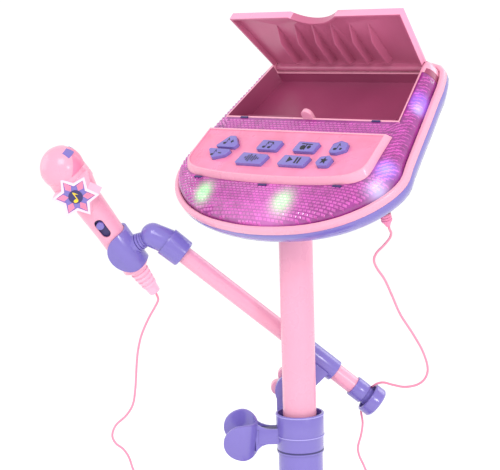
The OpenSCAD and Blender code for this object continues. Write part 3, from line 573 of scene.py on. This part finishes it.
# ---------------------------------------------------------------- signs on the buttons
SIGNS = {
    "button_up": note(-3, -2.2, 3.4) + [box_of(1.6, -0.5, 4.4, 0.4), box_of(2.55, -1.5, 3.45, 1.4)],
    "button_down": note(-4, -2.0, 3.2) + [box_of(1.0, -0.4, 4.0, 0.5)],
    "button_top_left": note(-3.6, -2.4, 3.4) + note(1.2, -2.4, 3.4) + [box_of(-2.6, 2.1, 2.6, 2.9)],
    "button_top_right": [circle(-2.2, -1.2, 2.2), circle(3, -0.4, 1.6), box_of(-4.8, 1.8, 4.8, 2.6),
                         box_of(-0.4, -3.2, 0.4, 2.4)],
    "button_top_round": note(-2.2, -2.4, 3.6) + [circle(2.4, -1.8, 1.0)],
    "button_low_left": [box_of(x - 0.5, -h, x + 0.5, h)
                        for x, h in ((-6, 1), (-4, 2.6), (-2, 3.6), (0, 2), (2, 3.2), (4, 1.6), (6, 0.8))],
    "button_low_right": [[(-5.5, -2.8), (-5.5, 2.8), (-1, 0)], box_of(1.4, -2.8, 2.8, 2.8),
                         box_of(4, -2.8, 5.4, 2.8)],
    "button_low_round": [star(3.4, 1.5, 5, 90)],
}
SIGN_SCALE = 1.3
SIGN_ON = turned(-3, "Z") @ Matrix.Diagonal((SIGN_SCALE, SIGN_SCALE, 1, 1))
SIGN_LOW, SIGN_HIGH = -0.1, 0.12  # from the button's top


def make_signs():
    for node, shapes in SIGNS.items():
        top = frame["nodes"][node]
        at = [PANEL.inverted() @ (top.matrix_world @ v.co) for v in top.data.vertices]
        rise = max(p.z for p in at)
        face = [p for p in at if p.z > rise - 0.1 * MM]
        u = (min(p.x for p in face) + max(p.x for p in face)) / 2
        v = (min(p.y for p in face) + max(p.y for p in face)) / 2
        to = PANEL @ Matrix.Translation((u, v, rise)) @ SIGN_ON
        bm = bmesh.new()
        for points in shapes:
            prism(bm, points, SIGN_LOW, SIGN_HIGH, to)
        piece(node + "_sign", bm, INK, node)


make_signs()

# ---------------------------------------------------------------- ribs of the lens
# The corners of a rib, in parts of its half length and half width, and their heights over the lens
RIB_CORNERS = ((-1, -1, -0.1), (1, -1, -0.1), (1, 1, -0.1), (-1, 1, -0.1), (-0.62, 0, 0.75), (0.62, 0, 0.75))
RIB_FACES = ((0, 1, 5, 4), (2, 3, 4, 5), (1, 2, 5), (3, 0, 4), (3, 2, 1, 0))
RIB_STRETCH = 2.2  # a rib whose corners lie more than this many lengths apart bridges a step, and is left out
LEAST_FACING = 0.12  # a wall that faces up by less than this has no ribs: 0 is upright, 1 is level
RAY_FROM = 20
ROW_GAP, RIB_GAP, RIB_LENGTH, RIB_WIDTH = 2.7, 4.5, 3.8, 2.1
SIDE_ROW_GAP, SIDE_RIB_GAP, SIDE_RIB_LENGTH, SIDE_RIB_WIDTH = 2.3, 4.8, 4.1, 1.85
SIDE_TURN = 24
FRONT_V = -121  # the first row
SIDE_U, SIDE_V = 96, -62  # past these, the ribs of the sides take over


def make_ribs():
    """Small roof-shaped ribs in staggered rows over the whole lens, lighter than it as a painted highlight.
    """
    lens = frame["nodes"]["light_lens"]
    skin = BVHTree.FromPolygons([lens.matrix_world @ v.co for v in lens.data.vertices],
                                [list(f.vertices) for f in lens.data.polygons])
    down = (PANEL.to_3x3() @ Vector((0, 0, -1))).normalized()
    bm = bmesh.new()

    def on_skin(u, v):
        hit, normal, _, _ = skin.ray_cast(PANEL @ (Vector((u, v, RAY_FROM)) * MM), down)
        if hit is None or abs(normal.dot(down)) < LEAST_FACING:
            return None
        return hit, normal if normal.dot(down) < 0 else -normal

    def rib(u, v, length, width, turn):
        c, s = math.cos(turn), math.sin(turn)
        found = []
        for a, b, rise in RIB_CORNERS:
            x, y = a * length / 2, b * width / 2
            spot = on_skin(u + c * x - s * y, v + s * x + c * y)
            if spot is None:
                return
            found.append(spot[0] + spot[1] * rise * MM)
        if max((found[0] - q).length for q in found) > RIB_STRETCH * length * MM:
            return
        q = [bm.verts.new(p) for p in found]
        for corners in RIB_FACES:
            bm.faces.new([q[k] for k in corners])

    for row in range(74):
        v = FRONT_V + row * ROW_GAP
        for step in range(-30, 31):
            u = RIB_GAP * step + (RIB_GAP / 2 if row % 2 else 0)
            if abs(u) <= SIDE_U or v <= SIDE_V:
                rib(u, v, RIB_LENGTH, RIB_WIDTH, 0)
    for side in (-1, 1):
        for row in range(68):
            v = SIDE_V + row * SIDE_ROW_GAP
            for step in range(8):
                u = SIDE_U + 1 + SIDE_RIB_GAP * step + (SIDE_RIB_GAP / 2 if row % 2 else 0)
                rib(side * u, v, SIDE_RIB_LENGTH, SIDE_RIB_WIDTH, math.radians(SIDE_TURN) * side)
    piece("lens_ribs", bm, RIBS_PAINTED_HIGHLIGHT, "mast")


make_ribs()

# ---------------------------------------------------------------- the microphone's badge and switch
BADGE = MIC @ moved(0, -19.4, 75) @ turned(90, "X")
BADGE_TIPS = 6
BADGE_START = 34  # the angle of its first tip
BADGE_LEAN = (3.5, 1.5)  # the star's back is drawn aside, so that its thick edge shows
LOBE_HALF = 17  # half of the angle that a printed lobe takes up
SWITCH = MIC @ moved(0, -13.9, 36.5) @ turned(90, "X")
SWITCH_PROFILE = [(3.7, -4.6), (3.7, 0.2), (3.3, 0.8), (2.4, 1.15), (1.2, 1.3)]  # radius, height


def badge_star(r, inner):
    return star(r, inner, BADGE_TIPS, BADGE_START)


def make_badge():
    """A star in three layers: a thick pink star, a pale raised border and a printed purple star."""
    bm = bmesh.new()
    prism(bm, badge_star(21.5, 13.5), -8.5, -0.4, BADGE, lean=BADGE_LEAN)
    body = piece("badge_body", bm, TAIL_PINK, "mic")
    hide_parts("mic_badge")
    bm = bmesh.new()
    outer, inner = badge_star(21.7, 13.7), badge_star(18.2, 11.0)
    hoop(bm, [ring(bm, points, z, BADGE)
                        for points, z in ((outer, -0.4), (outer, 0.7), (inner, 0.9), (inner, -0.4))])
    piece("badge_border", bm, PALE_PINK, "mic")
    bm = bmesh.new()
    prism(bm, badge_star(18.4, 11.2), -0.6, 0.1, BADGE)
    piece("badge_print", bm, PURPLE, "mic")
    bm = bmesh.new()
    for k in range(BADGE_TIPS):
        tip = BADGE_START + 360 / BADGE_TIPS * k
        lobe = [polar(6.5, tip), polar(11.3, tip - LOBE_HALF), polar(17.4, tip), polar(11.3, tip + LOBE_HALF)]
        prism(bm, lobe, 0, 0.3, BADGE)
    piece("badge_lobes", bm, PANEL_PINK, "mic")
    bm = bmesh.new()
    prism(bm, circle(0, 0, 6.6, 24), 0.2, 0.5, BADGE)
    piece("badge_disc", bm, INDIGO, "mic")
    bm = bmesh.new()
    for points in note(-1.8, -3.4, 5.6):
        prism(bm, points, 0.4, 0.8, BADGE)
    piece("badge_note", bm, YELLOW, "mic")


def make_slider():
    """The switch: a domed purple slider in front of its dark plate."""
    bm = bmesh.new()
    loft(bm, [ring(bm, circle(0, 0, r, 28), z, SWITCH) for r, z in SWITCH_PROFILE])
    slider = piece("slider_dome", bm, PURPLE, "mic_switch", 50)
    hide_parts("mic_switch")
    bm = bmesh.new()
    prism(bm, box_of(-4.9, -15, 4.9, 12), -5.3, -4.4, SWITCH)
    piece("slider_plate", bm, INDIGO, "mic_switch")


# ---------------------------------------------------------------- the microphone's head
HEAD_R = 20.5
BAND_R = HEAD_R - 0.6  # the darker half is set back
SEAM_AXIS = Vector((-0.54, -0.53, 0.65)).normalized()  # the way the dome half of the head faces
SEAM_OFFSET = 0.8  # from the ball's centre
HEAD_FLOOR = -8  # where the ball ends in its skirt, from the ball's centre
SKIRT_PROFILE = ((18.9, -20.8), (19.3, -20.3), (19.5, -16.8), (18.7, -16.2),
                 (18.7, -14.9), (19.5, -14.2), (19.2, -7), (17, -6))  # radius, height from the ball's centre
WINDOW_CELLS = 4  # along each edge
WINDOW_FROM, WINDOW_TO = HEAD_R - 0.9, HEAD_R + 0.12
# Each window's azimuth, latitude, width and height on the ball, and its look
WINDOWS = ((-24, 34, 34, 22, PURPLE), (-172, 12, 11, 13, INDIGO),
           (56, 20, 34, 22, PURPLE), (128, 20, 34, 22, PURPLE))


def on_ball(r, azimuth, latitude):
    a, b = math.radians(azimuth), math.radians(latitude)
    return Vector((r * math.cos(b) * math.cos(a), r * math.cos(b) * math.sin(a), HEAD_AT + r * math.sin(b)))


def make_half(name, r, way, material):
    """A half of the ball, on one side of its slanted seam and above its skirt."""
    centre = Vector((0, 0, HEAD_AT))
    to_seam = SEAM_AXIS.to_track_quat("Z", "Y").to_matrix().to_4x4()
    bm = bmesh.new()
    bmesh.ops.create_uvsphere(bm, u_segments=72, v_segments=48, radius=r,
                              matrix=Matrix.Translation(centre) @ to_seam)
    for spot, normal in ((centre + SEAM_AXIS * SEAM_OFFSET, SEAM_AXIS * way),
                         (centre + Vector((0, 0, HEAD_FLOOR)), Vector((0, 0, 1)))):
        cut = bmesh.ops.bisect_plane(bm, geom=bm.verts[:] + bm.edges[:] + bm.faces[:], plane_co=spot,
                                     plane_no=normal, clear_inner=True)
        rim = [e for e in cut["geom_cut"] if isinstance(e, bmesh.types.BMEdge)]
        bmesh.ops.holes_fill(bm, edges=rim, sides=0)
    bm.transform(MIC @ Matrix.Scale(MM, 4))
    return piece(name, bm, material, "mic", 40)


def make_window(name, azimuth, latitude, wide, tall, look):
    """A curved plate in the ball: an inner and an outer sheet of cells, and the edge between them."""
    n = WINDOW_CELLS
    bm = bmesh.new()

    def corner(r, i, j):
        place = on_ball(r, azimuth + wide * (i / n - 0.5), latitude + tall * (j / n - 0.5))
        return bm.verts.new(MIC @ (place * MM))

    grid = [[[corner(r, i, j) for j in range(n + 1)] for i in range(n + 1)] for r in (WINDOW_FROM, WINDOW_TO)]
    for i in range(n):
        for j in range(n):
            for sheet in grid:
                bm.faces.new((sheet[i][j], sheet[i + 1][j], sheet[i + 1][j + 1], sheet[i][j + 1]))
    edge = [(i, 0) for i in range(n)] + [(n, j) for j in range(n)]
    edge += [(n - i, n - j) for i, j in edge]
    for (i, j), (k, m) in zip(edge, edge[1:] + edge[:1]):
        bm.faces.new((grid[0][i][j], grid[0][k][m], grid[1][k][m], grid[1][i][j]))
    piece(name, bm, look, "mic", 40)


def make_head():
    """The ball: a dome half that stands proud of a darker banded half, with set-in windows and a skirt."""
    dome = make_half("head_dome", HEAD_R, 1, PINK)
    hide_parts("mic_head")
    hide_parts("mic_grille")
    make_half("head_band", BAND_R, -1, PANEL_PINK)
    bm = bmesh.new()
    loft(bm, [ring(bm, circle(0, 0, r, 64), HEAD_AT + z, MIC) for r, z in SKIRT_PROFILE])
    piece("head_skirt", bm, PINK, "mic", 30)
    for count, window in enumerate(WINDOWS):
        make_window(f"head_window_{count + 1}", *window)


make_badge()
make_slider()
make_head()

# ---------------------------------------------------------------- the panel's raised edge
# Right halves of outlines on the panel (u, v), from the middle of the front to the rear corner
SKIRT = [(0, -82), (40, -81), (68, -79), (92, -75.5),
         (104, -69), (107, -60), (106.3, -42), (105.5, -19.5)]
EDGE = [(0, -78), (40, -77.2), (67, -75.2), (89, -71.5),
        (100, -65), (103.4, -57), (103.2, -41), (102.6, -24)]
FACE = [(0, -69.6), (39, -68.6), (64, -66.2), (82, -62.2),
        (93, -55.5), (97.6, -47.5), (99, -38), (99.4, -30.6)]
OUTLINE_STEPS = 4
# The snap slots are drawn as dark strips: painted shade in the slots.
SNAPS = ((-82, -80), (0, -84.4), (82, -80), (-78, -1.3), (78, -1.3))  # the middles of the dark snap slots
SNAP_HALF = (4.5, 0.9)  # along u and v


def outline(half):
    """A closed outline from its right half: curved along the front, straight along the rear."""
    front = [Vector((-x, y)) for x, y in half[:0:-1]] + [Vector(q) for q in half]
    return curve([front[0]] + front + [front[-1]], OUTLINE_STEPS) + [Vector((0, half[-1][1]))]


def band(name, rings, material):
    """A closed band on the panel, through outlines at their heights."""
    bm = bmesh.new()
    hoop(bm, [ring(bm, points, n, PANEL) for points, n in rings])
    piece(name, bm, material, "mast", 30)


def make_panel_edge():
    face, edge, skirt = outline(FACE), outline(EDGE), outline(SKIRT)
    between = [a.lerp(b, 0.45) for a, b in zip(edge, skirt)]
    shoulder = [a.lerp(b, 0.8) for a, b in zip(edge, between)]
    foot = [q * 1.002 for q in skirt]
    band("panel_margin", [(face, 5.0), (face, 5.62), (edge, 5.62), (edge, 5.0)],
         PANEL_PINK)
    band("panel_edge", [(edge, 5.0), (edge, 6.3), (shoulder, 6.4), (between, 5.7),
                        (skirt, 0.4), (foot, -0.6), (edge, 0.2)],
         PINK)
    bm = bmesh.new()
    along, across = SNAP_HALF
    for u, v in SNAPS:
        prism(bm, box_of(u - along, v - across, u + along, v + across), -1.5, 0.9, PANEL)
    piece("snap_slots_painted_shade", bm, INDIGO, "mast")


make_panel_edge()

# ---------------------------------------------------------------- lines around the collar: painted highlights and a painted shade
LINE_DEPTH = 0.8
LINE_EDGE = 0.15


def make_line(name, r, low, high, material):
    """A thin raised line around the collar: in a light colour it is a painted highlight on a ridge, in a dark
    one a painted shade in a gap.
    """
    bm = bmesh.new()
    profile = ((r - LINE_DEPTH, low), (r, low + LINE_EDGE), (r, high - LINE_EDGE), (r - LINE_DEPTH, high))
    hoop(bm, [ring(bm, circle(0, 0, q, 72), z) for q, z in profile])
    piece(name, bm, material, "collar", 40)


# A dark band over the collar's seam: painted shade in the gap.
make_line("collar_gap_painted_shade", 21.75, 436.4, 438.2, INDIGO)
# The ridge and the lip in a lighter purple: painted highlights.
make_line("collar_ridge", 22.4, 450.2, 451.5, LILAC_PAINTED_HIGHLIGHT)
make_line("collar_lip", 22.35, 469.6, 471.0, LILAC_PAINTED_HIGHLIGHT)

# ---------------------------------------------------------------- the arm of the spare cradle
ARM_LOW, ARM_TOP = 444.2, 457.8
ARM_END = -41  # at the cradle
WEB_HALF = 7.5
WEB_THICK = 2.2  # of the two upper webs


def make_arm_webs():
    """Webs that widen the arm towards its cradle, and a dark strip along its top: painted shade in the slot.
    """
    below = [(ARM_END, ARM_LOW), (ARM_END, 436.5), (-38.6, 439.6), (-35.5, 442.2),
             (-31, 443.7), (-26, ARM_LOW)]
    above = [(ARM_END, ARM_TOP), (-26, ARM_TOP), (-31, 458.6), (-35.5, 460.2),
             (-38.6, 462.2), (ARM_END, 465)]
    bm = bmesh.new()
    prism(bm, below, -WEB_HALF, WEB_HALF, UPRIGHT)
    prism(bm, box_of(ARM_END, 444.1, -37.9, 457.3), -WEB_HALF, WEB_HALF, UPRIGHT)
    for across in (-8.2, 6):
        prism(bm, above, across, across + WEB_THICK, UPRIGHT)
    piece("arm_webs", bm, PURPLE, "collar", 40)
    bm = bmesh.new()
    # A dark strip on the tongue, between the plates: painted shade in the slot.
    prism(bm, box_of(ARM_END - 0.5, -5.9, -21.9, 5.9), ARM_TOP - 0.35, ARM_TOP, TURNED)
    piece("arm_slot_painted_shade", bm, INDIGO, "collar")


make_arm_webs()

# ---------------------------------------------------------------- stage
FLOOR_HALF = 60  # in metres
SKY_STRENGTH = 1.08
LIGHTS_AIM = Vector((0, 0, 0.68))  # in metres
# Each lamp's place and size in metres, and its power in watts
LAMPS = {
    "key_light": ((1.2, -1.6, 2.2), 1.2, 26),
    "fill_light": ((-1.8, -1.0, 1.2), 1.5, 8),
    "back_light": ((0.6, 1.8, 1.8), 1.2, 12),
    "edge_light": ((1.9, -0.5, 0.9), 0.3, 7),
}


def make_floor():
    bm = bmesh.new()
    bmesh.ops.create_grid(bm, x_segments=2, y_segments=2, size=FLOOR_HALF)
    data = bpy.data.meshes.new("floor")
    bm.to_mesh(data)
    bm.free()
    floor = linked("floor", data)
    data.materials.append(plastic("floor", (0.97, 0.97, 0.97), 0.8, shade=0.98))


def make_sky():
    world = bpy.data.worlds.new("world")
    bpy.context.scene.world = world
    world.use_nodes = True
    sky = world.node_tree.nodes["Background"]
    sky.inputs["Color"].default_value = (1, 1, 1, 1)
    sky.inputs["Strength"].default_value = SKY_STRENGTH


def make_lamps():
    for name, (place, size, power) in LAMPS.items():
        data = bpy.data.lights.new(name, "AREA")
        data.size = size
        data.energy = power
        lamp = linked(name, data)
        lamp.location = place
        lamp.rotation_euler = (LIGHTS_AIM - Vector(place)).to_track_quat("-Z", "Y").to_euler()


make_floor()
make_sky()
make_lamps()
bpy.context.scene.view_settings.view_transform = "Standard"
